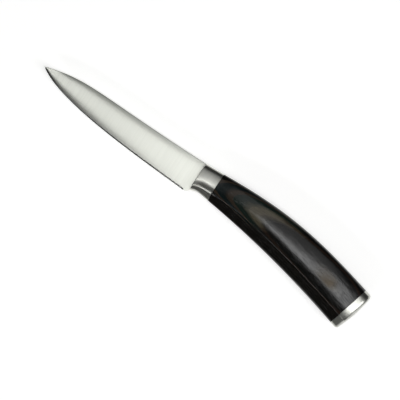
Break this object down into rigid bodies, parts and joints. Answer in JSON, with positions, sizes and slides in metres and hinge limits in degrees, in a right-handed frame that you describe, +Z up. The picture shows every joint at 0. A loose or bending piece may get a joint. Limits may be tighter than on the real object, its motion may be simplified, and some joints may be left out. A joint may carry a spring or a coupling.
{
  "type": "kitchen knife",
  "caption": "Small utility kitchen knife: pointed satin blade, steel bolster, swelling laminated wood grip and slanted steel end cap.",
  "frame": {"origin": "under the middle of the knife as it lies on its right side, at the height of its lowest point", "axes": "+X from the point towards the butt, +Y from the edge towards the spine, +Z up through the thickness"},
  "size_m": [0.2476, 0.0408, 0.019],
  "materials": {
    "blade_steel": "satin, fine brushing across the width of the blade",
    "hilt_steel": "brushed satin, brighter along the ridge and the rounded rims",
    "tang_steel": "bare rolled steel, not seen on the finished knife",
    "brown_veneer": "resin-filled dyed wood, dark brown, satin, fine lengthwise grain",
    "black_veneer": "resin-filled dyed wood, near black, satin, fine lengthwise grain",
    "core_wood": "resin-filled dyed wood, near black, satin"
  },
  "bodies": {
    "root": {"blade": "blade_steel", "tang_bar": "tang_steel", "bolster": "hilt_steel", "end_cap": "hilt_steel", "spine_core_strip": "core_wood", "belly_core_strip": "core_wood", "left_brown_veneer_1": "brown_veneer", "left_brown_veneer_2": "brown_veneer", "left_brown_veneer_3": "brown_veneer", "left_brown_veneer_4": "brown_veneer", "left_brown_veneer_5": "brown_veneer", "left_brown_veneer_6": "brown_veneer", "left_brown_veneer_7": "brown_veneer", "left_black_veneer_1": "black_veneer", "left_black_veneer_2": "black_veneer", "left_black_veneer_3": "black_veneer", "left_black_veneer_4": "black_veneer", "left_black_veneer_5": "black_veneer", "left_black_veneer_6": "black_veneer", "left_black_veneer_7": "black_veneer", "right_brown_veneer_1": "brown_veneer", "right_brown_veneer_2": "brown_veneer", "right_brown_veneer_3": "brown_veneer", "right_brown_veneer_4": "brown_veneer", "right_brown_veneer_5": "brown_veneer", "right_brown_veneer_6": "brown_veneer", "right_brown_veneer_7": "brown_veneer", "right_black_veneer_1": "black_veneer", "right_black_veneer_2": "black_veneer", "right_black_veneer_3": "black_veneer", "right_black_veneer_4": "black_veneer", "right_black_veneer_5": "black_veneer", "right_black_veneer_6": "black_veneer", "right_black_veneer_7": "black_veneer"}
  },
  "joints": []
}
